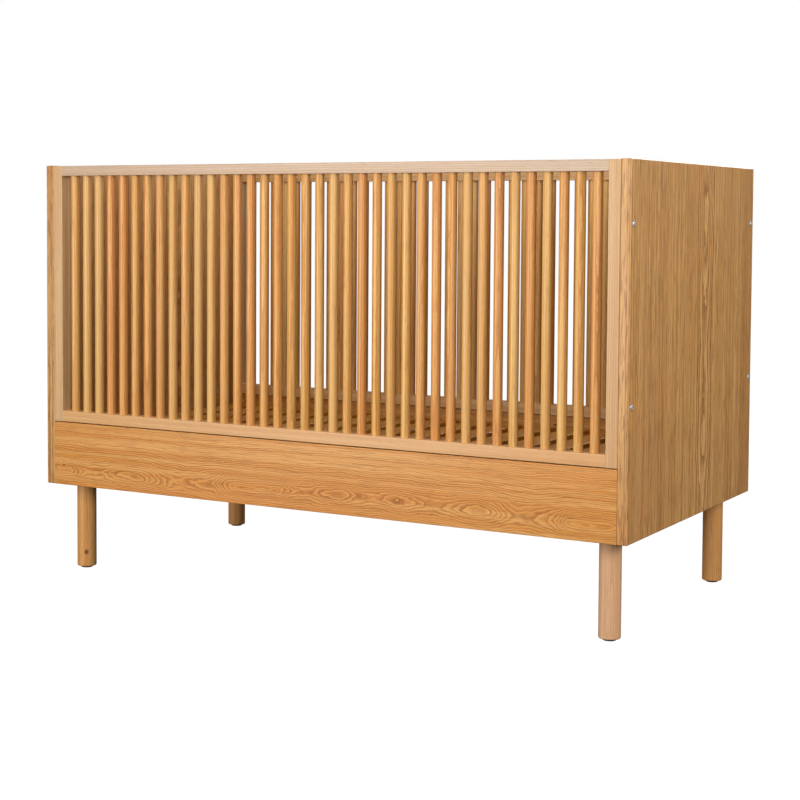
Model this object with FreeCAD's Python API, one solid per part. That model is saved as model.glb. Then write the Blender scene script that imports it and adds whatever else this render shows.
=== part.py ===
"""Baby crib with barred sides, full-depth end panels, round legs and a slatted mattress base.

Millimetres. X runs along the crib, -Y is the front, +Z is up. The origin is on the floor, under
the middle of the crib. Left is -X, right is +X.
"""
import FreeCAD, Part
import os

V = FreeCAD.Vector
X_AXIS = V(1, 0, 0)
Y_AXIS = V(0, 1, 0)
Z_AXIS = V(0, 0, 1)
ENDS = {"left": -1, "right": 1}
SIDES = {"front": -1, "rear": 1}

# Driving dimensions: the crib takes a 1400 x 700 mattress
MATTRESS_LENGTH = 1400.0
MATTRESS_WIDTH = 700.0
PANEL_THICK = 22.0
FRAME_DEPTH = 30.0
HALF_INNER_X = MATTRESS_LENGTH / 2
HALF_INNER_Y = MATTRESS_WIDTH / 2
HALF_X = HALF_INNER_X + PANEL_THICK
HALF_Y = HALF_INNER_Y + FRAME_DEPTH

# Heights, from the floor up
GLIDE_HEIGHT = 4.0
LEG_LENGTH = 200.0
PANEL_HEIGHT = 742.0
BOARD_HEIGHT = 146.0
BOARD_THICK = 22.0
SHADOW_GAP = 2.0
FRAME_HEIGHT = 593.0
CARCASS_Z = GLIDE_HEIGHT + LEG_LENGTH
FRAME_Z = CARCASS_Z + BOARD_HEIGHT + SHADOW_GAP
FRAME_TOP = FRAME_Z + FRAME_HEIGHT

# Barred side frames
STILE_WIDTH = 25.0
TOP_RAIL_HEIGHT = 23.0
BOTTOM_RAIL_HEIGHT = 25.0
BAR_RADIUS = 10.0
BAR_COUNT = 38
BAR_PITCH = 35.0
BAR_SEAT = 10.0
GLUE_GAP = 0.1
FRAME_MID_Y = HALF_Y - FRAME_DEPTH / 2
STILE_INNER_X = HALF_INNER_X - STILE_WIDTH
TOP_RAIL_Z = FRAME_TOP - TOP_RAIL_HEIGHT
BOTTOM_RAIL_TOP = FRAME_Z + BOTTOM_RAIL_HEIGHT
CORNER_DOWEL_RADIUS = 3.0
CORNER_DOWEL_OFFSET = 8.0
CORNER_DOWEL_REACH = 16.0

# Bolts that hold the side frames between the end panels
SIDE_BOLT_HEIGHTS = (470.0, 822.0)
BOLT_RADIUS = 2.95
BOLT_HOLE_RADIUS = 3.3
BOLT_HEAD_RADIUS = 6.0
BOLT_HEAD_HEIGHT = 3.3
BOLT_DOME_ROUND = 1.5
BOLT_PROUD = 1.0
BOLT_SOCKET_WIDTH = 4.0
BOLT_SOCKET_DEPTH = 2.0
SEAT_RADIUS = 7.0
SIDE_INSERT_RADIUS = 5.0
SIDE_INSERT_LENGTH = 18.0
INSERT_BORE_RADIUS = 3.0
SIDE_BOLT_END_X = HALF_INNER_X - 16.0

# Legs, their corner blocks and glides
LEG_RADIUS = 22.5
LEG_INSET = 39.0
LEG_X = HALF_INNER_X - LEG_INSET
LEG_Y = HALF_INNER_Y - LEG_INSET
LEG_BOTTOM_ROUND = 3.0
BLOCK_LENGTH = 78.0
BLOCK_HEIGHT = 25.0
BOARD_INNER_Y = HALF_Y - BOARD_THICK
BLOCK_INNER_X = HALF_INNER_X - BLOCK_LENGTH
BLOCK_INNER_Y = HALF_INNER_Y - BLOCK_LENGTH
HANGER_RADIUS = 3.9
HANGER_IN_LEG = 38.0
HANGER_IN_BLOCK = 18.0
LEG_INSERT_RADIUS = 6.0
LEG_INSERT_LENGTH = 20.0
LEG_INSERT_BORE = 4.0
GLIDE_RADIUS = 13.5
GLIDE_NAIL_RADIUS = 1.5
GLIDE_NAIL_LENGTH = 15.0

# Dowels of the lower boards and the corner blocks
DOWEL_RADIUS = 4.0
BOARD_DOWEL_HEIGHTS = (25.0, 73.0, 121.0)
DOWEL_IN_PANEL = 14.0
DOWEL_IN_BOARD = 22.0
BLOCK_DOWEL_REACH = 14.0
BLOCK_DOWEL_Z = CARCASS_Z + BLOCK_HEIGHT / 2

# Slatted mattress base, at the lower of its two heights
BASE_TOP = 324.0
BASE_CLEARANCE = 3.5
BASE_HALF_X = HALF_INNER_X - BASE_CLEARANCE
BASE_HALF_Y = HALF_INNER_Y - BASE_CLEARANCE
SLAT_COUNT = 16
SLAT_PITCH = 89.0
SLAT_WIDTH = 58.0
SLAT_THICK = 12.0
BASE_RAIL_THICK = 20.0
BASE_RAIL_HEIGHT = 50.0
BASE_RAIL_TOP = BASE_TOP - SLAT_THICK
BASE_RAIL_Z = BASE_RAIL_TOP - BASE_RAIL_HEIGHT
BASE_RAIL_MID_Y = BASE_HALF_Y - BASE_RAIL_THICK / 2
SLAT_SCREW = {"radius": 2.0, "length": 30.0, "head": 4.0}
BASE_SCREW = {"radius": 2.5, "length": 50.0, "head": 5.0}
BASE_SCREW_HEIGHTS = (12.0, 26.0)

# Brackets that carry the base, and the threaded inserts of both levels
BRACKET_Y = 277.0
BRACKET_WIDTH = 30.0
BRACKET_THICK = 3.0
BRACKET_REACH = 32.0
BRACKET_DROP = 30.0
LEVEL_STEP = 116.0
LOW_INSERT_Z = 245.0
HIGH_INSERT_Z = LOW_INSERT_Z + LEVEL_STEP
SUPPORT_INSERT_RADIUS = 5.0
SUPPORT_INSERT_LENGTH = 13.0
SUPPORT_BOLT_LENGTH = 12.0

# Eased edges of the wood
PANEL_EASE = 2.0
FRAME_EASE = 1.0
SLAT_EASE = 2.0


def block(x, y, z):
    """A box from three (low, high) pairs, given in either order."""
    low = V(min(x), min(y), min(z))
    return Part.makeBox(abs(x[1] - x[0]), abs(y[1] - y[0]), abs(z[1] - z[0]), low)


def rod(radius, length, start, axis):
    return Part.makeCylinder(radius, length, start, axis)


def eased(shape, radius, axis=None):
    """Round the straight edges that run along axis, or all of them when no axis is given."""
    edges = []
    for edge in shape.Edges:
        along = edge.Curve.Direction
        if axis is None or along.cross(axis).Length < 1e-6:
            edges.append(edge)
    return shape.makeFillet(radius, edges)


def save(name, solids):
    """Write one node, as one solid or as a group of separate solids."""
    shape = solids[0] if len(solids) == 1 else Part.makeCompound(solids)
    shape.exportStep("parts/" + name + ".step")


def hexagon(width, depth, start, axis):
    """A hexagonal prism, width across its flats, from start along axis, which is X either way."""
    corner = V(0, 0, width / 3 ** 0.5)
    points = [start + FreeCAD.Rotation(X_AXIS, 60 * i).multVec(corner) for i in range(7)]
    return Part.Face(Part.makePolygon(points)).extrude(axis * depth)


def button_bolt(seat, axis, length):
    """A button-head bolt on an X axis: its head stands from seat along axis, its shank the other way."""
    head = rod(BOLT_HEAD_RADIUS, BOLT_HEAD_HEIGHT, seat, axis)
    top = seat + axis * BOLT_HEAD_HEIGHT
    rim = [e for e in head.Edges if (e.BoundBox.Center - top).Length < 0.01]
    head = head.makeFillet(BOLT_DOME_ROUND, rim)
    socket_floor = top - axis * BOLT_SOCKET_DEPTH
    head = head.cut(hexagon(BOLT_SOCKET_WIDTH, BOLT_HEAD_HEIGHT, socket_floor, axis))
    return head.fuse(rod(BOLT_RADIUS, length, seat, -axis)).removeSplitter()


def sleeve(outer, inner, length, start, axis):
    return rod(outer, length, start, axis).cut(rod(inner, length, start, axis))


def wood_screw(size, tip_axis, head_centre):
    """A countersunk screw whose head lies flush at head_centre and whose shank runs along tip_axis."""
    cone = Part.makeCone(size["head"], size["radius"], size["head"] - size["radius"], head_centre, tip_axis)
    return cone.fuse(rod(size["radius"], size["length"], head_centre, tip_axis)).removeSplitter()


def bar_centres():
    first = -BAR_PITCH * (BAR_COUNT - 1) / 2
    return [first + BAR_PITCH * i for i in range(BAR_COUNT)]


def slat_centres():
    first = -SLAT_PITCH * (SLAT_COUNT - 1) / 2
    return [first + SLAT_PITCH * i for i in range(SLAT_COUNT)]


def corners():
    """The four corners as (end name, side name, X sign, Y sign)."""
    return [(end, side, sx, sy) for end, sx in ENDS.items() for side, sy in SIDES.items()]


# Pieces that go into holes, made first so that the wood is cut to take them

def side_bolts():
    """Bolts through the end panels into the stiles, heads in shallow seats."""
    bolts = []
    for sx in ENDS.values():
        for sy in SIDES.values():
            for z in SIDE_BOLT_HEIGHTS:
                seat = V(sx * (HALF_X + BOLT_PROUD - BOLT_HEAD_HEIGHT), sy * FRAME_MID_Y, z)
                length = abs(seat.x) - SIDE_BOLT_END_X
                bolts.append(button_bolt(seat, X_AXIS * sx, length))
    return bolts


def side_inserts():
    """Threaded sleeves in the stiles' outer faces."""
    sleeves = []
    for sx in ENDS.values():
        for sy in SIDES.values():
            for z in SIDE_BOLT_HEIGHTS:
                start = V(sx * HALF_INNER_X, sy * FRAME_MID_Y, z)
                sleeves.append(sleeve(SIDE_INSERT_RADIUS, INSERT_BORE_RADIUS, SIDE_INSERT_LENGTH,
                                      start, X_AXIS * -sx))
    return sleeves


def support_inserts(z):
    """Threaded sleeves in the end panels' inner faces, for the base brackets."""
    sleeves = []
    for sx in ENDS.values():
        for sy in SIDES.values():
            start = V(sx * HALF_INNER_X, sy * BRACKET_Y, z)
            sleeves.append(sleeve(SUPPORT_INSERT_RADIUS, INSERT_BORE_RADIUS, SUPPORT_INSERT_LENGTH,
                                  start, X_AXIS * sx))
    return sleeves


def board_dowels(sx, sy):
    """Dowels between one end of a lower board and its end panel."""
    start_x = sx * (HALF_INNER_X - DOWEL_IN_BOARD)
    mid_y = sy * (HALF_Y - BOARD_THICK / 2)
    return [rod(DOWEL_RADIUS, DOWEL_IN_BOARD + DOWEL_IN_PANEL, V(start_x, mid_y, CARCASS_Z + z), X_AXIS * sx)
            for z in BOARD_DOWEL_HEIGHTS]


def block_dowels(sx, sy):
    """Two dowels from a corner block, one into the end panel and one into the lower board."""
    to_panel = V(sx * (HALF_INNER_X - BLOCK_DOWEL_REACH), sy * (LEG_Y - LEG_INSET / 2), BLOCK_DOWEL_Z)
    to_board = V(sx * (LEG_X - LEG_INSET / 2), sy * (BOARD_INNER_Y - BLOCK_DOWEL_REACH), BLOCK_DOWEL_Z)
    return [rod(DOWEL_RADIUS, 2 * BLOCK_DOWEL_REACH, to_panel, X_AXIS * sx),
            rod(DOWEL_RADIUS, 2 * BLOCK_DOWEL_REACH, to_board, Y_AXIS * sy)]


def corner_dowels(sx, sy):
    """Two dowels at each rail end, between the rail and its stile."""
    dowels = []
    for z in (FRAME_Z + BOTTOM_RAIL_HEIGHT / 2, FRAME_TOP - TOP_RAIL_HEIGHT / 2):
        for offset in (-CORNER_DOWEL_OFFSET, CORNER_DOWEL_OFFSET):
            start = V(sx * (STILE_INNER_X - CORNER_DOWEL_REACH), sy * FRAME_MID_Y + offset, z)
            dowels.append(rod(CORNER_DOWEL_RADIUS, 2 * CORNER_DOWEL_REACH, start, X_AXIS * sx))
    return dowels


# Carcass

def end_panel(sx):
    """A full-depth end panel, drilled for the side bolts, the dowels and the inserts."""
    panel = eased(block((sx * HALF_INNER_X, sx * HALF_X), (-HALF_Y, HALF_Y),
                        (CARCASS_Z, CARCASS_Z + PANEL_HEIGHT)), PANEL_EASE)
    cuts = []
    for sy in SIDES.values():
        cuts += board_dowels(sx, sy) + block_dowels(sx, sy)
        for z in SIDE_BOLT_HEIGHTS:
            inner = V(sx * HALF_INNER_X, sy * FRAME_MID_Y, z)
            seat = V(sx * (HALF_X + BOLT_PROUD - BOLT_HEAD_HEIGHT), sy * FRAME_MID_Y, z)
            cuts.append(rod(BOLT_HOLE_RADIUS, PANEL_THICK, inner, X_AXIS * sx))
            cuts.append(rod(SEAT_RADIUS, BOLT_HEAD_HEIGHT, seat, X_AXIS * sx))
        for z in (LOW_INSERT_Z, HIGH_INSERT_Z):
            inner = V(sx * HALF_INNER_X, sy * BRACKET_Y, z)
            cuts.append(rod(SUPPORT_INSERT_RADIUS, SUPPORT_INSERT_LENGTH, inner, X_AXIS * sx))
    return panel.cut(cuts)


def lower_board(sy):
    """The solid board under a side frame, between the end panels."""
    board = eased(block((-HALF_INNER_X, HALF_INNER_X), (sy * BOARD_INNER_Y, sy * HALF_Y),
                        (CARCASS_Z, CARCASS_Z + BOARD_HEIGHT)), FRAME_EASE, X_AXIS)
    cuts = []
    for sx in ENDS.values():
        cuts += board_dowels(sx, sy) + block_dowels(sx, sy)
    return board.cut(cuts)


def leg_block(sx, sy):
    """The corner block that takes a leg's threaded insert."""
    body = eased(block((sx * BLOCK_INNER_X, sx * HALF_INNER_X), (sy * BLOCK_INNER_Y, sy * BOARD_INNER_Y),
                       (CARCASS_Z, CARCASS_Z + BLOCK_HEIGHT)), FRAME_EASE, Z_AXIS)
    insert_hole = rod(LEG_INSERT_RADIUS, LEG_INSERT_LENGTH, V(sx * LEG_X, sy * LEG_Y, CARCASS_Z), Z_AXIS)
    return body.cut(block_dowels(sx, sy) + [insert_hole])


def leg(sx, sy):
    """A plain round leg with a rounded foot, drilled for its hanger bolt and glide nail."""
    foot = V(sx * LEG_X, sy * LEG_Y, GLIDE_HEIGHT)
    body = rod(LEG_RADIUS, LEG_LENGTH, foot, Z_AXIS)
    rim = [e for e in body.Edges if e.Length > 10 * LEG_BOTTOM_ROUND and e.BoundBox.ZMax < foot.z + 0.01]
    body = body.makeFillet(LEG_BOTTOM_ROUND, rim)
    bolt_hole = rod(HANGER_RADIUS, HANGER_IN_LEG, foot + Z_AXIS * LEG_LENGTH, -Z_AXIS)
    nail_hole = rod(GLIDE_NAIL_RADIUS, GLIDE_NAIL_LENGTH, foot, Z_AXIS)
    return body.cut([bolt_hole, nail_hole])


def hanger_bolt(sx, sy):
    start = V(sx * LEG_X, sy * LEG_Y, CARCASS_Z - HANGER_IN_LEG)
    return rod(HANGER_RADIUS, HANGER_IN_LEG + HANGER_IN_BLOCK, start, Z_AXIS)


def leg_insert(sx, sy):
    return sleeve(LEG_INSERT_RADIUS, LEG_INSERT_BORE, LEG_INSERT_LENGTH,
                  V(sx * LEG_X, sy * LEG_Y, CARCASS_Z), Z_AXIS)


def glide(sx, sy):
    """A nail-on glide: a round pad with its nail."""
    floor = V(sx * LEG_X, sy * LEG_Y, 0)
    pad = rod(GLIDE_RADIUS, GLIDE_HEIGHT, floor, Z_AXIS)
    rim = [e for e in pad.Edges if e.BoundBox.ZMax < 0.01]
    pad = pad.makeFillet(1.0, rim)
    nail = rod(GLIDE_NAIL_RADIUS, GLIDE_NAIL_LENGTH, floor + Z_AXIS * GLIDE_HEIGHT, Z_AXIS)
    return pad.fuse(nail).removeSplitter()


# Barred side frames

def stile(sx, sy):
    """An upright at one end of a side frame."""
    body = eased(block((sx * STILE_INNER_X, sx * HALF_INNER_X), (sy * HALF_INNER_Y, sy * HALF_Y),
                       (FRAME_Z, FRAME_TOP)), FRAME_EASE, Z_AXIS)
    cuts = corner_dowels(sx, sy)
    for z in SIDE_BOLT_HEIGHTS:
        start = V(sx * HALF_INNER_X, sy * FRAME_MID_Y, z)
        cuts.append(rod(SIDE_INSERT_RADIUS, SIDE_INSERT_LENGTH, start, X_AXIS * -sx))
    return body.cut(cuts)


def side_rail(sy, z_low, z_high, seat_z, seat_axis):
    """A rail between two stiles, with a round seat for the end of every bar."""
    body = eased(block((-STILE_INNER_X, STILE_INNER_X), (sy * HALF_INNER_Y, sy * HALF_Y),
                       (z_low, z_high)), FRAME_EASE, X_AXIS)
    cuts = corner_dowels(-1, sy) + corner_dowels(1, sy)
    for x in bar_centres():
        mouth = V(x, sy * FRAME_MID_Y, seat_z)
        cuts.append(rod(BAR_RADIUS + GLUE_GAP, BAR_SEAT + GLUE_GAP, mouth, seat_axis))
    return body.cut(cuts)


def bars(sy):
    low = BOTTOM_RAIL_TOP - BAR_SEAT
    length = TOP_RAIL_Z + BAR_SEAT - low
    return [rod(BAR_RADIUS, length, V(x, sy * FRAME_MID_Y, low), Z_AXIS) for x in bar_centres()]


# Mattress base

def slat_screws():
    screws = []
    for x in slat_centres():
        for sy in SIDES.values():
            screws.append(wood_screw(SLAT_SCREW, -Z_AXIS, V(x, sy * BASE_RAIL_MID_Y, BASE_TOP)))
    return screws


def base_frame_screws():
    screws = []
    for sx in ENDS.values():
        for sy in SIDES.values():
            for z in BASE_SCREW_HEIGHTS:
                head = V(sx * BASE_HALF_X, sy * BASE_RAIL_MID_Y, BASE_RAIL_Z + z)
                screws.append(wood_screw(BASE_SCREW, X_AXIS * -sx, head))
    return screws


def base_slat(x):
    body = eased(block((x - SLAT_WIDTH / 2, x + SLAT_WIDTH / 2), (-BASE_HALF_Y, BASE_HALF_Y),
                       (BASE_RAIL_TOP, BASE_TOP)), SLAT_EASE, Y_AXIS)
    near = [s for s in slat_screws() if abs(s.BoundBox.Center.x - x) < 1]
    return body.cut(near)


def base_long_rail(sy):
    """A side rail of the base, between its two end rails."""
    half = BASE_HALF_X - BASE_RAIL_THICK
    body = eased(block((-half, half), (sy * BASE_HALF_Y, sy * (BASE_HALF_Y - BASE_RAIL_THICK)),
                       (BASE_RAIL_Z, BASE_RAIL_TOP)), FRAME_EASE, X_AXIS)
    screws = [s for s in slat_screws() + base_frame_screws() if s.BoundBox.Center.y * sy > 0]
    return body.cut(screws)


def base_end_rail(sx):
    body = eased(block((sx * BASE_HALF_X, sx * (BASE_HALF_X - BASE_RAIL_THICK)), (-BASE_HALF_Y, BASE_HALF_Y),
                       (BASE_RAIL_Z, BASE_RAIL_TOP)), FRAME_EASE, Y_AXIS)
    screws = [s for s in slat_screws() + base_frame_screws() if s.BoundBox.Center.x * sx > 0]
    return body.cut(screws)


def bracket(sx, sy):
    """An L bracket: an upright on the end panel and a shelf under the base's end rail."""
    y = (sy * BRACKET_Y - BRACKET_WIDTH / 2, sy * BRACKET_Y + BRACKET_WIDTH / 2)
    upright = block((sx * (HALF_INNER_X - BRACKET_THICK), sx * HALF_INNER_X), y,
                    (BASE_RAIL_Z - BRACKET_DROP, BASE_RAIL_Z))
    shelf = block((sx * (HALF_INNER_X - BRACKET_REACH), sx * HALF_INNER_X), y,
                  (BASE_RAIL_Z - BRACKET_THICK, BASE_RAIL_Z))
    hole = rod(BOLT_HOLE_RADIUS, BRACKET_REACH, V(sx * (HALF_INNER_X - BRACKET_REACH), sy * BRACKET_Y,
                                                  LOW_INSERT_Z), X_AXIS * sx)
    return upright.fuse(shelf).removeSplitter().cut(hole)


def support_bolt(sx, sy):
    seat = V(sx * (HALF_INNER_X - BRACKET_THICK), sy * BRACKET_Y, LOW_INSERT_Z)
    return button_bolt(seat, X_AXIS * -sx, SUPPORT_BOLT_LENGTH)


def main():
    os.makedirs("parts", exist_ok=True)
    for end, sx in ENDS.items():
        save("end_panel_" + end, [end_panel(sx)])
        save("base_end_rail_" + end, [base_end_rail(sx)])
    for side, sy in SIDES.items():
        save(side + "_lower_board", [lower_board(sy)])
        save(side + "_top_rail", [side_rail(sy, TOP_RAIL_Z, FRAME_TOP, TOP_RAIL_Z, Z_AXIS)])
        save(side + "_bottom_rail", [side_rail(sy, FRAME_Z, BOTTOM_RAIL_TOP, BOTTOM_RAIL_TOP, -Z_AXIS)])
        save(side + "_bars", bars(sy))
        save("base_side_rail_" + side, [base_long_rail(sy)])
    for end, side, sx, sy in corners():
        place = side + "_" + end
        save(side + "_stile_" + end, [stile(sx, sy)])
        save("leg_" + place, [leg(sx, sy)])
        save("leg_block_" + place, [leg_block(sx, sy)])
        save("glide_" + place, [glide(sx, sy)])
    for number, x in enumerate(slat_centres(), start=1):
        save("base_slat_%02d" % number, [base_slat(x)])

    signs = [(sx, sy) for _, _, sx, sy in corners()]
    save("side_bolts", side_bolts())
    save("side_bolt_inserts", side_inserts())
    save("frame_corner_dowels", [d for sx, sy in signs for d in corner_dowels(sx, sy)])
    save("board_dowels", [d for sx, sy in signs for d in board_dowels(sx, sy)])
    save("leg_block_dowels", [d for sx, sy in signs for d in block_dowels(sx, sy)])
    save("leg_hanger_bolts", [hanger_bolt(sx, sy) for sx, sy in signs])
    save("leg_inserts", [leg_insert(sx, sy) for sx, sy in signs])
    save("base_brackets", [bracket(sx, sy) for sx, sy in signs])
    save("base_bracket_bolts", [support_bolt(sx, sy) for sx, sy in signs])
    save("base_inserts_low", support_inserts(LOW_INSERT_Z))
    save("base_inserts_high", support_inserts(HIGH_INSERT_Z))
    save("base_slat_screws", slat_screws())
    save("base_frame_screws", base_frame_screws())


main()
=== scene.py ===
import math

import bpy
from mathutils import Matrix, Vector


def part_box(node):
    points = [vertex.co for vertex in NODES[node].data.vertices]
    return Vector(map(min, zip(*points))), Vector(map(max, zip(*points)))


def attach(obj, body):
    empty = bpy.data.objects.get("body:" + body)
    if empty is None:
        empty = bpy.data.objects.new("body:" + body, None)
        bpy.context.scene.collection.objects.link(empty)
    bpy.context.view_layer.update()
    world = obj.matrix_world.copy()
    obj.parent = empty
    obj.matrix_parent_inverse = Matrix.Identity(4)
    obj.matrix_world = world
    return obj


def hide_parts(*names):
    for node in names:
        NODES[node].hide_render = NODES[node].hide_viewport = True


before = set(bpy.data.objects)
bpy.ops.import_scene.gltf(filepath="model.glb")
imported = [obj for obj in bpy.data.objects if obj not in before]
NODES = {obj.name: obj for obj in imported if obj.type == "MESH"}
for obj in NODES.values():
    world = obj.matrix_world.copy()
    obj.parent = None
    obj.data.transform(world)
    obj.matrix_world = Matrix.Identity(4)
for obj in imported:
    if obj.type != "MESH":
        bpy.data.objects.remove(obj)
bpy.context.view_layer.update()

# The CAD nodes of a wooden crib take finished materials. Its bars, bolts, upper inserts and slat
# screws are made again here, finer. All lengths are in metres: X runs along the crib, -Y is its
# front and Z is up

# Bars and slats
BAR_COUNT = 38
BAR_PITCH = 0.035
BAR_RADIUS = 0.010
BAR_EASE = 0.0008
BAR_STEPS = 12
BAR_SIDES = 40
SLAT_COUNT = 16
SLAT_PITCH = 0.089

# Button-head bolts
HEAD_RADIUS = 0.006
HEAD_HEIGHT = 0.0033
HEAD_DOME = 0.0015
HEAD_EASE = 0.0002
DOME_STEPS = 6
SHANK_RADIUS = 0.00295
SHANK_TIP = 0.0008
SHANK_TAPER = 0.8
SOCKET_WIDTH = 0.004
SOCKET_DEPTH = 0.002
SOCKET_RIM_WIDTH = 0.0005
SOCKET_RIM_DEPTH = 0.00025
SOCKET_CONE = 0.0006
CENTRE_RADIUS = 0.0003
SIDE_BOLT_TIP_X = 0.684
BRACKET_FACE_X = 0.697
BRACKET_BOLT_SHANK = 0.012
BASE_FIXING_Y = 0.277

# Threaded inserts
INSERT_LENGTH = 0.013
INSERT_RADIUS = 0.005
INSERT_EASE = 0.0003
INSERT_BACK = 0.0006
BORE_RADIUS = 0.003
BORE_EASE = 0.0004
THREAD_START = 0.0012
THREAD_TURNS = 7
THREAD_PITCH = 0.0014
THREAD_HALF = 0.0004
THREAD_DEPTH = 0.0003

# Slat screws, which stop at a different turn each
SLAT_SCREW_Y = 0.3365
SCREW_FIRST_TURN = 11
SCREW_TURN_STEP = 37

HARDWARE_SIDES = 48
SHARP_ANGLE = math.radians(40)


def srgb(red, green, blue):
    """A colour as the eye reads it, 0 to 255, in the linear numbers that a shader takes."""
    scaled = [c / 255 for c in (red, green, blue)]
    linear = [c / 12.92 if c <= 0.04045 else ((c + 0.055) / 1.055) ** 2.4 for c in scaled]
    return (*linear, 1.0)


def darkened(colour, share):
    return tuple(share * c for c in colour[:3]) + (1.0,)


# Materials

# How far one seed moves a noise on each axis
SEED_SHIFT = (1.31, 2.17, 0.73)
# The bevelled and the true normal agree this well on a face, and this badly on a worn edge
FACE_MATCH = 0.995
EDGE_MATCH = 0.90


class Material:
    """One node material. The methods take numbers or sockets, and give back sockets."""

    def __init__(self, name):
        self.material = bpy.data.materials.new(name)
        self.material.use_nodes = True
        tree = self.material.node_tree
        tree.nodes.clear()
        self.nodes = tree.nodes
        self.links = tree.links
        self.shader = self.node("ShaderNodeBsdfPrincipled")
        self.output = self.node("ShaderNodeOutputMaterial")
        self.links.new(self.shader.outputs[0], self.output.inputs[0])

    def node(self, kind, **settings):
        made = self.nodes.new(kind)
        for key, value in settings.items():
            setattr(made, key, value)
        return made

    def feed(self, socket, value):
        if isinstance(value, bpy.types.NodeSocket):
            self.links.new(value, socket)
        else:
            socket.default_value = value

    def math(self, operation, *values):
        made = self.node("ShaderNodeMath", operation=operation)
        for socket, value in zip(made.inputs, values):
            self.feed(socket, value)
        return made.outputs[0]

    def total(self, first, *others):
        for other in others:
            first = self.math("ADD", first, other)
        return first

    def product(self, first, *others):
        for other in others:
            first = self.math("MULTIPLY", first, other)
        return first

    def scaled(self, value, size, start):
        """A value of 0 to 1 turned into start to start + size."""
        return self.total(self.product(value, size), start)

    def vector(self, x, y, z):
        made = self.node("ShaderNodeCombineXYZ")
        for socket, value in zip(made.inputs, (x, y, z)):
            self.feed(socket, value)
        return made.outputs[0]

    def split(self, vector):
        """The X, Y and Z of a vector."""
        made = self.node("ShaderNodeSeparateXYZ")
        self.feed(made.inputs[0], vector)
        return made.outputs

    def coordinate(self, kind):
        return self.node("ShaderNodeTexCoord").outputs[kind]

    def noise(self, place, scale, seed, detail):
        """Noise from 0 to 1, with features 1 / scale metres long on each axis."""
        mapped = self.node("ShaderNodeMapping")
        self.feed(mapped.inputs["Vector"], place)
        mapped.inputs["Scale"].default_value = scale
        mapped.inputs["Location"].default_value = [seed * shift for shift in SEED_SHIFT]
        made = self.node("ShaderNodeTexNoise")
        self.feed(made.inputs["Vector"], mapped.outputs[0])
        made.inputs["Scale"].default_value = 1.0
        made.inputs["Detail"].default_value = detail
        return made.outputs[0]

    def around(self, noise, size):
        """Noise turned into a shift of up to about size either way."""
        return self.product(self.math("SUBTRACT", noise, 0.5), 2 * size)

    def level(self, value, low, high, smooth=True):
        """0 where value is at low, 1 where it is at high."""
        kind = "SMOOTHSTEP" if smooth else "LINEAR"
        made = self.node("ShaderNodeMapRange", interpolation_type=kind)
        self.feed(made.inputs["Value"], value)
        self.feed(made.inputs["From Min"], low)
        self.feed(made.inputs["From Max"], high)
        return made.outputs[0]

    def ramp(self, value, stops):
        """A grey looked up on straight lines through (position, grey) stops."""
        made = self.node("ShaderNodeValToRGB")
        points = made.color_ramp.elements
        while len(points) < len(stops):
            points.new(0.5)
        for point, (position, grey) in zip(points, stops):
            point.position = position
            point.color = (grey, grey, grey, 1)
        self.feed(made.inputs[0], value)
        return made.outputs[0]

    def curve(self, value, points):
        """A length looked up on a smooth curve through (position, length) points."""
        start, end = points[0][0], points[-1][0]
        top = max(height for _, height in points)
        made = self.node("ShaderNodeFloatCurve")
        line = made.mapping.curves[0]
        placed = [((position - start) / (end - start), height / top) for position, height in points]
        line.points[0].location = placed[0]
        line.points[1].location = placed[-1]
        for point in placed[1:-1]:
            line.points.new(*point)
        made.mapping.update()
        self.feed(made.inputs["Value"], self.level(value, start, end, smooth=False))
        return self.product(made.outputs[0], top)

    def mix(self, share, first, second, blend="MIX"):
        made = self.node("ShaderNodeMix", data_type="RGBA", blend_type=blend)
        self.feed(made.inputs[0], share)
        self.feed(made.inputs[6], first)
        self.feed(made.inputs[7], second)
        return made.outputs[2]

    def white(self, value):
        """Three random numbers, each from 0 to 1, that belong to value."""
        made = self.node("ShaderNodeTexWhiteNoise", noise_dimensions="1D")
        self.feed(made.inputs["W"], value)
        parts = self.node("ShaderNodeSeparateColor")
        self.feed(parts.inputs[0], made.outputs["Color"])
        return parts.outputs[0], parts.outputs[1], parts.outputs[2]

    def worn_edge(self, radius):
        """1 on the edges of the piece, 0 on its faces."""
        bevel = self.node("ShaderNodeBevel", samples=4)
        bevel.inputs["Radius"].default_value = radius
        geometry = self.node("ShaderNodeNewGeometry")
        dot = self.node("ShaderNodeVectorMath", operation="DOT_PRODUCT")
        self.feed(dot.inputs[0], bevel.outputs[0])
        self.feed(dot.inputs[1], geometry.outputs["Normal"])
        return self.level(dot.outputs["Value"], FACE_MATCH, EDGE_MATCH)

    def finish(self, colour, roughness, height, relief, strength):
        self.feed(self.shader.inputs["Base Color"], colour)
        self.feed(self.shader.inputs["Roughness"], roughness)
        bump = self.node("ShaderNodeBump")
        bump.inputs["Strength"].default_value = strength
        bump.inputs["Distance"].default_value = relief
        self.feed(bump.inputs["Height"], height)
        self.links.new(bump.outputs[0], self.shader.inputs["Normal"])
        return self.material


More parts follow.
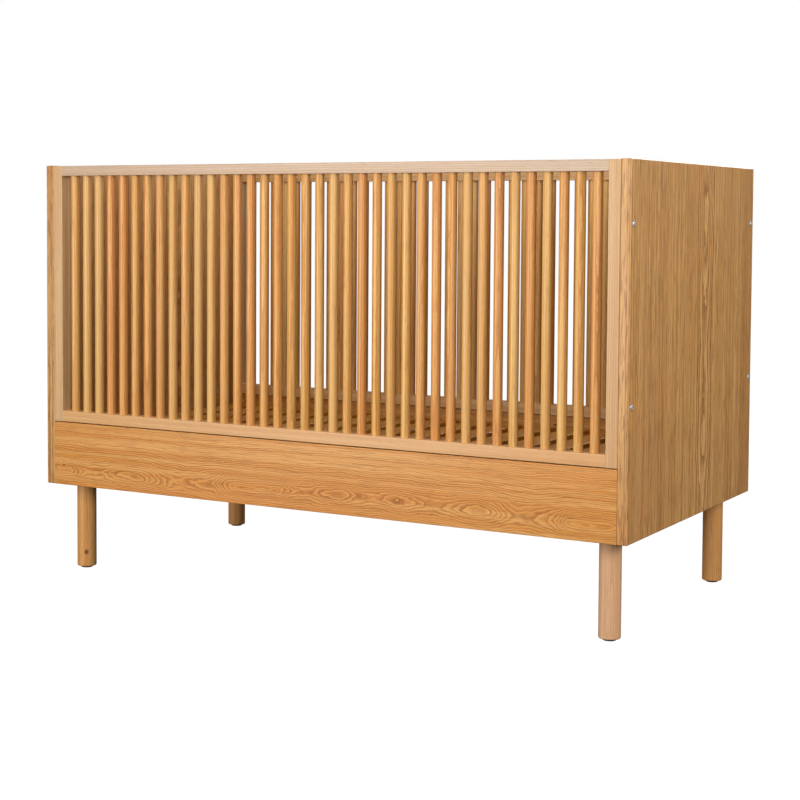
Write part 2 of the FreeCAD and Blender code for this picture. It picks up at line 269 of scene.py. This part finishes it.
# Light, middle, warm, growth-line and pore colours of each wood, before WOOD_SHADE
WOODS = {
    "board": [(235, 172, 95), (217, 142, 57), (221, 140, 59), (150, 81, 21), (122, 69, 23)],
    "panel": [(236, 182, 116), (206, 147, 77), (208, 143, 81), (112, 62, 20), (108, 62, 22)],
    # A paler, pinker copy of the frame wood for the front top rail: a painted sheen
    "rail": [(212, 187, 162), (202, 173, 142), (204, 167, 134), (183, 142, 102), (160, 117, 78)],
    # A paler, pinker copy of the leg wood for the front right leg: a painted sheen
    "painted_sheen_leg": [(234, 186, 143), (221, 172, 126), (228, 166, 122), (197, 128, 83), (166, 104, 64)],
    # The frame colours are partly the wood's own pale tone and partly a painted whitish sheen
    "frame": [(223, 183, 134), (210, 164, 109), (213, 161, 109), (180, 123, 70), (152, 100, 54)],
    # A brighter, warmer copy of the frame wood for the rails that stand in shade: painted light
    "painted_light_rail": [(234, 187, 132), (221, 168, 107), (224, 165, 107), (189, 126, 69), (160, 102, 53)],
    "bar": [(240, 190, 115), (213, 146, 57), (222, 144, 74), (168, 96, 32), (130, 74, 24)],
    "leg": [(236, 178, 109), (222, 155, 85), (224, 147, 83), (177, 107, 49), (136, 77, 30)],
    "base": [(239, 172, 67), (223, 155, 47), (221, 147, 47), (164, 97, 21), (127, 69, 16)],
}
# Darkens every wood alike, to suit the strength of the lights
WOOD_SHADE = 0.72

# Noise in the wood: features per metre along the grain, across the face and into the wood,
# what is added to the seed, and detail
WOOD_NOISE = {
    "side_bend": ((1.4, 1.5, 1.5), 0, 2.0),
    "depth_bend": ((2.3, 0, 0), 1, 2.0),
    "line_bend": ((5, 0, 0), 1, 2.0),
    "wobble": ((15, 30, 30), 2, 3.0),
    "ring_width": ((55, 1, 1), 3, 1.0),
    "streak": ((1.1, 110, 160), 4, 3.0),
    "cast": ((1.1, 9, 9), 5, 1.0),
    "fibre": ((6, 420, 420), 6, 3.0),
    "pore": ((42, 1300, 1300), 7, 1.0),
    "stripe": ((0.4, 2, 460), 8, 1.0),
    "jag": ((55, 110, 110), 9, 2.0),
    "fleck": ((22, 230, 260), 10, 2.0),
}
# The noise at which each mark starts, and at which it is full
MARK_LEVELS = {"streak": (0.36, 0.64), "cast": (0.42, 0.72), "pore": (0.60, 0.72),
               "stripe": (0.46, 0.66), "fleck": (0.50, 0.62)}
# The most of its own colour that each mark lays over the wood
CAST_SHARE = 0.7
PORE_SHARE = 0.55
KNOT_SHARE = 0.85
WORN_SHARE = 0.30
PALE_SHARE = 0.7

# A growth ring from one dark line to the next: the dark line, and the pale wood before it.
# RING_SHIFT is how far rings leave even spacing, in rings
DARK_BAND = [(0.0, 0.0), (0.05, 1.0), (0.22, 0.62), (0.50, 0.12), (1.0, 0.0)]
PALE_BAND = [(0.0, 0.0), (0.58, 0.0), (0.78, 1.0), (0.92, 0.5), (1.0, 0.0)]
RING_SHIFT = 0.9
FAINTEST_LINE = 0.25
PORES_OFF_LINE = 0.3

# A knot is longer along the grain than across it. It pushes the rings away, by KNOT_PUSH rings
# at its middle, out to KNOT_REACH of its size, and is darkest within KNOT_CORE of its size
KNOT_DARK = srgb(72, 38, 18)
KNOT_ALONG = 0.6
KNOT_REACH = 2.2
KNOT_PUSH = 3.2
KNOT_CORE = 0.35

# In a row of members, each is cut this much further along the log, and some are warmer or paler
MEMBER_STEP = 5.3
MEMBER_SEED = 13.7
WARM_MEMBERS = (0.35, 1.0)
PALE_MEMBERS = (0.55, 0.0)
MEMBER_SHADE = 0.10

# How far a face must turn across the grain to count as the piece's edge, and its look there
EDGE_TURN = (0.6, 0.9)
LINES_LEFT_ON_EDGE = 0.15
EDGE_TINT = 0.11

# Fibres shade the colour from DARKEST_FIBRE up, and stand above the pores
FIBRE_LEVELS = (0.3, 0.7)
FIBRE_SHADE = 0.14
DARKEST_FIBRE = 0.92
FIBRE_HEIGHT = 0.5

# Roughness of the wood, and what lines, fibres and worn edges add to it
WOOD_ROUGH = 0.29
LINE_ROUGH = 0.16
FIBRE_ROUGH = 0.10
WORN_ROUGH = -0.07
WOOD_SPECULAR = 0.32
WOOD_WEAR = 0.0016

# Zinc plating has darker clouds and fine turning marks, and is brighter where it is rubbed
CLOUD_SCALE = (300, 300, 300)
CLOUD_LEVELS = (0.35, 0.7)
CLOUD_SHADE = 0.7
CLOUD_ROUGH = 0.22
BRUSH_SCALE = (900, 2600, 2600)
BRUSH_ROUGH = 0.10
RUBBED = srgb(235, 240, 246)
RUBBED_SHARE = 0.5
RUBBED_ROUGH = -0.08
METAL_WEAR = 0.0004
METALLIC = 0.7

# Plastic has a fine grain, dust in its low spots and paler scuffed edges
GRAIN_SCALE = (1800, 1800, 1800)
GRAIN_ROUGH = 0.1
DUST = srgb(96, 88, 80)
DUST_SCALE = (140, 140, 140)
DUST_LEVELS = (0.45, 0.75)
DUST_SHARE = 0.35
DUST_ROUGH = 0.2
SCUFFED = srgb(120, 112, 104)
SCUFFED_SHARE = 0.35
PLASTIC_ROUGH = 0.42
PLASTIC_WEAR = 0.0008


def timber(name, place, grain, wood, seed, heart=0.0, depth=0.03, swell=0.012, wander=0.010,
           wobble=0.003, jag=0.0009, period=0.0055, contrast=0.6, pitch=0.0, spread=0.0,
           variety=0.0, centre_line=None, knot=None, edge_stripes=0.0, flecks=0.12):
    """Solid wood: growth rings round a log whose heart runs under the face, with fibres and pores.

    place is the piece's middle, and grain names its axes: along the grain, across the face, into
    the wood. The heart lies at heart across the face and depth under the piece's middle, or as
    deep as centre_line says along the piece. swell and wander bend the heart in depth and across,
    and wobble and jag shift the rings by coarse and fine noise. period is a ring's width, and
    contrast is how dark its line is. knot is (along, across, size). pitch splits a row of equal
    members, each with its own cut of the log, moved by up to spread and tinted by variety.
    edge_stripes thins the rings' lines on the piece's narrow edges and lays straight stripes of
    that strength there, and flecks is the strength of the short dark marks everywhere."""
    m = Material(name)
    tones = [darkened(srgb(*tone), WOOD_SHADE) for tone in WOODS[wood]]
    light, middle, warm, line_colour, pore_colour = tones

    def wood_noise(kind, where):
        scale, step, detail = WOOD_NOISE[kind]
        return m.noise(where, scale, seed + step, detail)

    def marks(kind):
        return m.level(wood_noise(kind, solid), *MARK_LEVELS[kind])

    # Place in the log
    axes = dict(zip("xyz", m.split(m.coordinate("Object"))))
    middles = dict(zip("xyz", place))
    along, across, deep = (m.math("SUBTRACT", axes[a], middles[a]) for a in grain)
    own_along, own_across = along, across
    if pitch:
        member = m.math("FLOOR", m.math("DIVIDE", axes[grain[1]], pitch))
        tone, hue, cut = m.white(m.math("ADD", member, seed * MEMBER_SEED))
        member_middle = m.product(m.math("ADD", member, 0.5), pitch)
        across = m.math("SUBTRACT", axes[grain[1]], member_middle)
        own_across = m.math("ADD", across, m.around(cut, spread))
        own_along = m.math("ADD", along, m.product(member, MEMBER_STEP))
        deep = m.math("ADD", deep, m.around(tone, spread / 2))
    solid = m.vector(own_along, own_across, deep)

    # Growth rings
    side = m.total(own_across, -heart, m.around(wood_noise("side_bend", solid), wander))
    if centre_line:
        under = m.total(deep, m.curve(along, centre_line),
                        m.around(wood_noise("line_bend", solid), swell))
    else:
        under = m.total(deep, depth, m.around(wood_noise("depth_bend", solid), swell))
    radius = m.math("SQRT", m.math("ADD", m.product(side, side), m.product(under, under)))
    radius = m.total(radius, m.around(wood_noise("wobble", solid), wobble),
                     m.around(wood_noise("jag", solid), jag))
    if knot:
        knot_along, knot_across, size = knot
        off_along = m.product(m.math("SUBTRACT", along, knot_along), KNOT_ALONG)
        off_across = m.math("SUBTRACT", across, knot_across)
        squared = m.math("ADD", m.product(off_along, off_along), m.product(off_across, off_across))
        near = m.math("EXPONENT", m.product(squared, -1 / (KNOT_REACH * size) ** 2))
        radius = m.math("ADD", radius, m.product(near, KNOT_PUSH * period))
        core = m.level(m.math("SQRT", squared), size, KNOT_CORE * size)
    rings = m.math("DIVIDE", radius, period)
    shift = m.around(wood_noise("ring_width", m.vector(radius, 0, 0)), RING_SHIFT)
    rings = m.math("ADD", rings, shift)
    strength, _, _ = m.white(m.math("ADD", m.math("FLOOR", rings), seed))
    part_of_ring = m.math("FRACT", rings)
    band = m.ramp(part_of_ring, DARK_BAND)
    lines = m.product(band, m.scaled(strength, 1 - FAINTEST_LINE, FAINTEST_LINE), contrast)
    pale = m.product(m.ramp(part_of_ring, PALE_BAND), PALE_SHARE * contrast)
    if edge_stripes:
        normal = m.split(m.coordinate("Normal"))
        on_edge = m.level(m.math("ABSOLUTE", normal["xyz".index(grain[1])]), *EDGE_TURN)
        off_edge = m.math("SUBTRACT", 1.0, m.product(on_edge, 1 - LINES_LEFT_ON_EDGE))
        lines = m.product(lines, off_edge)
        pale = m.product(pale, off_edge)

    # Colour, from the widest marks to the finest
    colour = m.mix(marks("streak"), light, middle)
    if edge_stripes:
        stripes = m.scaled(marks("stripe"), edge_stripes, EDGE_TINT)
        colour = m.mix(m.product(stripes, on_edge), colour, line_colour)
    colour = m.mix(m.product(marks("cast"), CAST_SHARE), colour, warm)
    colour = m.mix(m.product(marks("fleck"), flecks), colour, line_colour)
    if pitch:
        colour = m.mix(m.product(m.level(hue, *WARM_MEMBERS), variety), colour, warm)
        colour = m.mix(m.product(m.level(tone, *PALE_MEMBERS), variety), colour, light)
    colour = m.mix(pale, colour, light)
    colour = m.mix(lines, colour, line_colour)
    pores = m.product(marks("pore"), m.scaled(band, 1 - PORES_OFF_LINE, PORES_OFF_LINE))
    colour = m.mix(m.product(pores, PORE_SHARE), colour, pore_colour)
    fibre = wood_noise("fibre", solid)
    shade = m.scaled(m.level(fibre, *FIBRE_LEVELS, smooth=False), FIBRE_SHADE, DARKEST_FIBRE)
    if pitch:
        member_shade = MEMBER_SHADE * variety
        shade = m.product(shade, m.scaled(tone, member_shade, 1 - member_shade / 2))
    colour = m.mix(1.0, colour, m.vector(shade, shade, shade), "MULTIPLY")
    if knot:
        colour = m.mix(m.product(core, KNOT_SHARE), colour, KNOT_DARK)
    edge = m.worn_edge(WOOD_WEAR)
    colour = m.mix(m.product(edge, WORN_SHARE), colour, light)

    roughness = m.total(m.product(lines, LINE_ROUGH), m.product(fibre, FIBRE_ROUGH),
                        m.product(edge, WORN_ROUGH), WOOD_ROUGH)
    height = m.math("SUBTRACT", m.product(fibre, FIBRE_HEIGHT), pores)
    m.shader.inputs["Specular IOR Level"].default_value = WOOD_SPECULAR
    return m.finish(colour, roughness, height, relief=0.0002, strength=0.45)


def metal(name, base, seed, rough):
    """Zinc-plated steel: a bluish plating, faint turning marks, brighter rubbed edges.

    rough is the roughness before clouds and turning marks add to it."""
    m = Material(name)
    place = m.coordinate("Object")
    cloud = m.noise(place, CLOUD_SCALE, seed, 3.0)
    brush = m.noise(place, BRUSH_SCALE, seed + 1, 2.0)
    edge = m.worn_edge(METAL_WEAR)
    colour = m.mix(m.level(cloud, *CLOUD_LEVELS), base, darkened(base, CLOUD_SHADE))
    colour = m.mix(m.product(edge, RUBBED_SHARE), colour, RUBBED)
    roughness = m.total(m.product(cloud, CLOUD_ROUGH), m.product(brush, BRUSH_ROUGH),
                        m.product(edge, RUBBED_ROUGH), rough)
    m.shader.inputs["Metallic"].default_value = METALLIC
    return m.finish(colour, roughness, brush, relief=0.00003, strength=0.4)


def plastic(name, base, seed):
    """Moulded plastic: fine spark-eroded grain, dust in the low spots, scuffed rims."""
    m = Material(name)
    place = m.coordinate("Object")
    grain = m.noise(place, GRAIN_SCALE, seed, 2.0)
    dust = m.noise(place, DUST_SCALE, seed + 1, 3.0)
    edge = m.worn_edge(PLASTIC_WEAR)
    colour = m.mix(m.product(m.level(dust, *DUST_LEVELS), DUST_SHARE), base, DUST)
    colour = m.mix(m.product(edge, SCUFFED_SHARE), colour, SCUFFED)
    roughness = m.total(m.product(dust, DUST_ROUGH), m.product(grain, GRAIN_ROUGH), PLASTIC_ROUGH)
    return m.finish(colour, roughness, grain, relief=0.00006, strength=0.5)


def middle_of(node):
    low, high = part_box(node)
    return (low + high) / 2


def dress(node, material):
    """A CAD node keeps its shape and takes the finished material."""
    thing = NODES[node]
    for holder in thing.material_slots:
        holder.material = material


# Wooden CAD nodes

# The heart rises and sinks along the front board, which draws long ovals on its face.
# Each pair is a place along the board and the heart's depth there
BOARD_HEART_LINE = [(-0.70, 0.030), (-0.672, 0.016), (-0.60, 0.034), (-0.472, 0.022),
                    (-0.36, 0.040), (-0.25, 0.034), (-0.12, 0.008), (-0.02, 0.030),
                    (0.058, 0.022), (0.14, 0.034), (0.218, 0.025), (0.31, 0.036),
                    (0.408, 0.024), (0.50, 0.040), (0.60, 0.018), (0.70, 0.005)]

dress("front_lower_board",
      timber("wood_board_front", middle_of("front_lower_board"), "xzy", "board", 3.0,
             heart=-0.037, centre_line=BOARD_HEART_LINE, swell=0.009, wander=0.014,
             wobble=0.0065, jag=0.0016, period=0.0040, contrast=0.88,
             knot=(-0.672, -0.027, 0.003), flecks=0.26))
dress("rear_lower_board",
      timber("wood_board_rear", middle_of("rear_lower_board"), "xzy", "board", 11.0,
             heart=0.020, depth=0.034, swell=0.016, wobble=0.006, jag=0.0014, period=0.0042,
             contrast=0.9, knot=(0.247, 0.051, 0.0045), flecks=0.26))
for side_name, seed, heart, depth in (("right", 21.0, 0.055, 0.060), ("left", 27.0, 0.110, 0.080)):
    node = "end_panel_" + side_name
    dress(node, timber("wood_panel_" + side_name, middle_of(node), "zyx", "panel", seed,
                       heart=heart, depth=depth, swell=0.020, wander=0.012, wobble=0.003,
                       period=0.0050, contrast=0.95, edge_stripes=0.40, flecks=0.44))

# Grain, heart and contrast of the side frames' pieces
FRAME_PIECES = {"top_rail": ("xzy", 0.045, 1.0), "bottom_rail": ("xzy", -0.060, 0.25),
                "stile_left": ("zxy", 0.070, 0.6), "stile_right": ("zxy", -0.055, 0.6)}
# The rails take lighter copies of the frame wood: a painted sheen on the front top rail, and
# painted light on the rails that stand in shade
RAIL_PAINTED_LIGHT_WOODS = {"front_top_rail": "rail", "rear_top_rail": "painted_light_rail",
              "front_bottom_rail": "painted_light_rail", "rear_bottom_rail": "painted_light_rail"}
seed = 31.0
for side_name in ("front", "rear"):
    for part, (grain, heart, contrast) in FRAME_PIECES.items():
        node = f"{side_name}_{part}"
        wood = RAIL_PAINTED_LIGHT_WOODS.get(node, "frame")
        dress(node, timber("wood_" + node, middle_of(node), grain, wood, seed, heart=heart,
                           depth=0.02, swell=0.015, wander=0.012, wobble=0.002,
                           period=0.0045, contrast=contrast))
        seed += 1

# Wood, heart, depth and knot of each leg
LEG_CUTS = {"front_left": ("leg", 0.004, 0.030, (-0.065, 0.013, 0.0050)),
            # The front right leg takes a paler, pinker copy of the leg wood: a painted sheen
            "front_right": ("painted_sheen_leg", 0.010, 0.018, None),
            "rear_left": ("leg", 0.030, 0.020, None),
            "rear_right": ("leg", 0.004, 0.030, None)}
for number, (corner, (wood, heart, depth, knot)) in enumerate(LEG_CUTS.items()):
    node = "leg_" + corner
    dress(node, timber("wood_" + node, middle_of(node), "zxy", wood, 51.0 + number, heart=heart,
                       depth=depth, swell=0.034, wander=0.014, wobble=0.003, period=0.0044,
                       contrast=0.60, knot=knot))
    block = "leg_block_" + corner
    dress(block, timber("wood_" + block, middle_of(block), "xyz", "base", 57.0 + number,
                        heart=0.03, depth=0.03, contrast=0.6))

slat_wood = timber("wood_slats", (0, 0, middle_of("base_slat_01").z), "yxz", "base", 63.0,
                   depth=0.03, pitch=SLAT_PITCH, spread=0.05, variety=0.8, contrast=0.65,
                   wobble=0.002)
for number in range(SLAT_COUNT):
    dress(f"base_slat_{number + 1:02d}", slat_wood)
for number, (part, grain) in enumerate([("side_rail_front", "xzy"), ("side_rail_rear", "xzy"),
                                        ("end_rail_left", "yzx"), ("end_rail_right", "yzx")]):
    node = "base_" + part
    dress(node, timber("wood_" + node, middle_of(node), grain, "base", 71.0 + number,
                       heart=0.035, depth=0.02, contrast=0.6))
dowel_wood = timber("wood_dowels", (0, 0, 0), "xzy", "frame", 81.0, heart=0.1, contrast=0.4)
for node in ("frame_corner_dowels", "board_dowels", "leg_block_dowels"):
    dress(node, dowel_wood)

# Metal and plastic CAD nodes

zinc = metal("metal_zinc", srgb(222, 230, 240), 5.0, rough=0.18)
steel_plate = metal("metal_bracket", srgb(176, 180, 186), 9.0, rough=0.24)
for node in ("side_bolt_inserts", "leg_hanger_bolts", "leg_inserts", "base_inserts_low",
             "base_frame_screws"):
    dress(node, zinc)
dress("base_brackets", steel_plate)
glide_plastic = plastic("plastic_glide", srgb(46, 40, 36), 7.0)
for corner in LEG_CUTS:
    dress("glide_" + corner, glide_plastic)


# Fine pieces that stand for coarse CAD nodes

def add_rings(vertices, faces, rings, sides, matrix):
    """Adds one closed turned shape. Each ring is (height, outline).

    An outline is a radius, or a function that gives the radius at an angle."""
    first = len(vertices)
    for height, outline in rings:
        for i in range(sides):
            angle = 2 * math.pi * i / sides
            radius = outline(angle) if callable(outline) else outline
            point = Vector((radius * math.cos(angle), radius * math.sin(angle), height))
            vertices.append(matrix @ point)
    for ring in range(len(rings) - 1):
        low, high = first + ring * sides, first + (ring + 1) * sides
        for i in range(sides):
            j = (i + 1) % sides
            faces.append((low + i, low + j, high + j, high + i))
    last = first + (len(rings) - 1) * sides
    faces.append(tuple(first + i for i in reversed(range(sides))))
    faces.append(tuple(last + i for i in range(sides)))


def hexagon(width):
    """The outline of a hexagon, width across its flats."""
    sixth = math.pi / 3
    return lambda angle: width / 2 / math.cos((angle + sixth / 2) % sixth - sixth / 2)


def cross(length, width):
    """The outline of a cross recess, with arms of that width and that length over all."""
    def outline(angle):
        cosine, sine = max(abs(math.cos(angle)), 1e-6), max(abs(math.sin(angle)), 1e-6)
        level_arm = min(length / cosine, width / sine)
        upright_arm = min(width / cosine, length / sine)
        return max(level_arm, upright_arm) / 2
    return outline


def piece(name, shapes, sides, material, body, stands_for):
    """Makes one object of several turned shapes, given as (rings, matrix)."""
    vertices, faces = [], []
    for rings, matrix in shapes:
        add_rings(vertices, faces, rings, sides, matrix)
    mesh = bpy.data.meshes.new(name)
    mesh.from_pydata(vertices, [], faces)
    mesh.polygons.foreach_set("use_smooth", [True] * len(mesh.polygons))
    mesh.set_sharp_from_angle(angle=SHARP_ANGLE)
    mesh.materials.append(material)
    made = bpy.data.objects.new(name, mesh)
    bpy.context.scene.collection.objects.link(made)
    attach(made, body)
    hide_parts(stands_for)


def facing(axis, origin):
    """A matrix that puts a shape's own Z along axis and its start at origin."""
    turn = Vector(axis).to_track_quat("Z", "Y").to_matrix().to_4x4()
    return Matrix.Translation(origin) @ turn


def bar_rings(height):
    """A turned bar with eased ends."""
    rings = [(0.0, BAR_RADIUS - BAR_EASE), (BAR_EASE, BAR_RADIUS)]
    rings += [(BAR_EASE + (height - 2 * BAR_EASE) * i / BAR_STEPS, BAR_RADIUS)
              for i in range(1, BAR_STEPS)]
    return rings + [(height - BAR_EASE, BAR_RADIUS), (height, BAR_RADIUS - BAR_EASE)]


def button_bolt(shank):
    """A bolt with a domed head and a hexagon socket. Its head starts at height 0."""
    side = HEAD_HEIGHT - HEAD_DOME
    bottom = HEAD_HEIGHT - SOCKET_DEPTH
    rings = [(-shank, SHANK_RADIUS * SHANK_TAPER), (-shank + SHANK_TIP, SHANK_RADIUS),
             (0.0, SHANK_RADIUS), (0.0, HEAD_RADIUS - HEAD_EASE), (HEAD_EASE, HEAD_RADIUS),
             (side, HEAD_RADIUS)]
    for step in range(1, DOME_STEPS + 1):
        turn = math.pi / 2 * step / DOME_STEPS
        rings.append((side + HEAD_DOME * math.sin(turn),
                      HEAD_RADIUS - HEAD_DOME * (1 - math.cos(turn))))
    rim = hexagon(SOCKET_WIDTH + SOCKET_RIM_WIDTH)
    hole = hexagon(SOCKET_WIDTH)
    return rings + [(HEAD_HEIGHT, rim), (HEAD_HEIGHT - SOCKET_RIM_DEPTH, hole),
                    (bottom, hole), (bottom - SOCKET_CONE, CENTRE_RADIUS)]


def insert_rings():
    """A threaded insert: a chamfered body and a bore with thread turns, closed at the back."""
    rings = [(0.0, BORE_RADIUS * 0.6), (0.0, INSERT_RADIUS - INSERT_EASE),
             (INSERT_EASE, INSERT_RADIUS), (INSERT_LENGTH - INSERT_EASE, INSERT_RADIUS),
             (INSERT_LENGTH, INSERT_RADIUS - INSERT_EASE), (INSERT_LENGTH, BORE_RADIUS + BORE_EASE),
             (INSERT_LENGTH - BORE_EASE, BORE_RADIUS)]
    for i in range(THREAD_TURNS):
        top = INSERT_LENGTH - THREAD_START - THREAD_PITCH * i
        rings += [(top, BORE_RADIUS), (top - THREAD_HALF, BORE_RADIUS + THREAD_DEPTH),
                  (top - 2 * THREAD_HALF, BORE_RADIUS)]
    return rings + [(INSERT_BACK, BORE_RADIUS), (INSERT_BACK, BORE_RADIUS * 0.5)]


# A countersunk screw with a cross recess. Its head ends at height 0
SCREW_RINGS = [(-0.030, 0.0004), (-0.024, 0.0019), (-0.0022, 0.0020), (-0.0003, 0.00385),
               (0.0, 0.0038), (0.0, cross(0.0046, 0.0014)), (-0.0014, cross(0.0030, 0.0010)),
               (-0.0018, 0.0003)]

for number, side_name in enumerate(("front", "rear")):
    low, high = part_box(side_name + "_bars")
    middle = (low + high) / 2
    bar_wood = timber(f"wood_bars_{side_name}", (0, middle.y, middle.z), "zxy", "bar",
                      91.0 + 7 * number, depth=0.035, swell=0.010, wander=0.008, wobble=0.002,
                      period=0.0042, contrast=0.6, pitch=BAR_PITCH, spread=0.040, variety=0.70)
    first_x = -(BAR_COUNT - 1) / 2 * BAR_PITCH
    shapes = [(bar_rings(high.z - low.z),
               Matrix.Translation((first_x + i * BAR_PITCH, middle.y, low.z)))
              for i in range(BAR_COUNT)]
    piece(f"{side_name}_turned_bars", shapes, BAR_SIDES, bar_wood, "crib_frame",
          side_name + "_bars")

low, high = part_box("side_bolts")
seat_x = high.x - HEAD_HEIGHT
shapes = []
for sign in (-1, 1):
    for y in (middle_of("front_bars").y, middle_of("rear_bars").y):
        for z in (low.z + HEAD_RADIUS, high.z - HEAD_RADIUS):
            shapes.append((button_bolt(seat_x - SIDE_BOLT_TIP_X),
                           facing((sign, 0, 0), Vector((sign * seat_x, y, z)))))
piece("side_button_bolts", shapes, HARDWARE_SIDES, zinc, "crib_frame", "side_bolts")

bolt_z = middle_of("base_bracket_bolts").z
insert_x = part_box("base_inserts_high")[1].x
insert_z = middle_of("base_inserts_high").z
bolt_shapes, insert_shapes = [], []
for sign in (-1, 1):
    for y in (-BASE_FIXING_Y, BASE_FIXING_Y):
        seat = Vector((sign * BRACKET_FACE_X, y, bolt_z))
        bolt_shapes.append((button_bolt(BRACKET_BOLT_SHANK), facing((-sign, 0, 0), seat)))
        back = Vector((sign * insert_x, y, insert_z))
        insert_shapes.append((insert_rings(), facing((-sign, 0, 0), back)))
piece("bracket_button_bolts", bolt_shapes, HARDWARE_SIDES, zinc, "crib_frame",
      "base_bracket_bolts")
piece("upper_level_inserts", insert_shapes, HARDWARE_SIDES, zinc, "crib_frame",
      "base_inserts_high")

top_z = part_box("base_slat_screws")[1].z
shapes = []
for i in range(SLAT_COUNT):
    turn = math.radians(SCREW_FIRST_TURN + SCREW_TURN_STEP * i)
    for y in (-SLAT_SCREW_Y, SLAT_SCREW_Y):
        place = Matrix.Translation(((i - (SLAT_COUNT - 1) / 2) * SLAT_PITCH, y, top_z))
        shapes.append((SCREW_RINGS, place @ Matrix.Rotation(turn, 4, "Z")))
piece("slat_cross_screws", shapes, HARDWARE_SIDES, zinc, "mattress_base",
      "base_slat_screws")


# Floor, light and camera

FLOOR_HALF = 60.0
FLOOR_GREY = 0.06
WORLD_SEEN = 1.0
WORLD_LIGHT = 0.14


def floor_material():
    """Plain pale floor. It shows near white, and throws less light back than it shows."""
    m = Material("floor_pale")
    soft = m.node("ShaderNodeBsdfDiffuse")
    soft.inputs["Color"].default_value = (FLOOR_GREY, FLOOR_GREY, FLOOR_GREY, 1)
    glow = m.node("ShaderNodeEmission")
    m.feed(glow.inputs["Strength"], m.node("ShaderNodeLightPath").outputs["Is Camera Ray"])
    both = m.node("ShaderNodeAddShader")
    m.links.new(soft.outputs[0], both.inputs[0])
    m.links.new(glow.outputs[0], both.inputs[1])
    m.links.new(both.outputs[0], m.output.inputs[0])
    return m.material


floor_corners = [(x * FLOOR_HALF, y * FLOOR_HALF, 0.0)
                 for x, y in ((-1, -1), (1, -1), (1, 1), (-1, 1))]
floor_mesh = bpy.data.meshes.new("floor")
floor_mesh.from_pydata(floor_corners, [], [(0, 1, 2, 3)])
floor_mesh.materials.append(floor_material())
floor = bpy.data.objects.new("floor", floor_mesh)
bpy.context.scene.collection.objects.link(floor)

world = bpy.data.worlds.new("studio")
world.use_nodes = True
bpy.context.scene.world = world
world_nodes, world_links = world.node_tree.nodes, world.node_tree.links
background = next(n for n in world_nodes if n.type == "BACKGROUND")
background.inputs["Color"].default_value = (1, 1, 1, 1)
ray = world_nodes.new("ShaderNodeLightPath")
strength = world_nodes.new("ShaderNodeMapRange")
strength.inputs["To Min"].default_value = WORLD_LIGHT
strength.inputs["To Max"].default_value = WORLD_SEEN
world_links.new(ray.outputs["Is Camera Ray"], strength.inputs["Value"])
world_links.new(strength.outputs[0], background.inputs["Strength"])


def softbox(name, place, aim, size, power):
    data = bpy.data.lights.new(name, "AREA")
    data.shape = "RECTANGLE"
    data.size, data.size_y = size
    data.energy = power
    lamp = bpy.data.objects.new(name, data)
    bpy.context.scene.collection.objects.link(lamp)
    lamp.location = place
    lamp.visible_camera = False
    lamp.rotation_euler = (Vector(aim) - Vector(place)).to_track_quat("-Z", "Y").to_euler()


softbox("low", (-1.4, -3.2, 0.6), (0.0, 0.0, 0.4), (1.6, 0.8), 58)
softbox("front", (0.6, -2.5, 1.7), (0.0, 0.0, 0.5), (1.0, 1.0), 37)
softbox("near", (1.7, -2.7, 0.9), (0.0, 0.0, 0.5), (1.1, 1.0), 26)
softbox("top", (-0.3, -1.3, 3.0), (0.0, 0.0, 0.4), (1.2, 0.8), 18)
softbox("right", (2.7, -0.1, 1.25), (0.7, 0.0, 0.6), (1.2, 0.9), 42)
softbox("left", (-3.0, 0.5, 1.15), (-0.7, 0.0, 0.5), (1.4, 1.0), 34)
softbox("back", (0.4, 4.2, 2.3), (0.0, 0.0, 0.5), (1.8, 1.6), 78)

# A long lens from the front right, a little lower than the top rails.
# The shift frames the crib as in the photograph
LENS = 75.36
SHIFT = (0.0375, -0.1264)
CAMERA_PLACE = (1.8879, -3.3808, 0.8355)
YAW, PITCH, ROLL = -0.52495, 0.050, 0.00554
camera_data = bpy.data.cameras.new("camera")
camera_data.sensor_width = 36.0
camera_data.lens = LENS
camera_data.shift_x, camera_data.shift_y = SHIFT
camera_data.clip_start = 0.05
camera_data.clip_end = 200.0
camera = bpy.data.objects.new("camera", camera_data)
bpy.context.scene.collection.objects.link(camera)
camera.matrix_world = (Matrix.Translation(CAMERA_PLACE) @ Matrix.Rotation(-YAW, 4, "Z")
                       @ Matrix.Rotation(math.pi / 2 - PITCH, 4, "X")
                       @ Matrix.Rotation(ROLL, 4, "Z"))
bpy.context.scene.camera = camera
bpy.context.scene.view_settings.view_transform = "Standard"
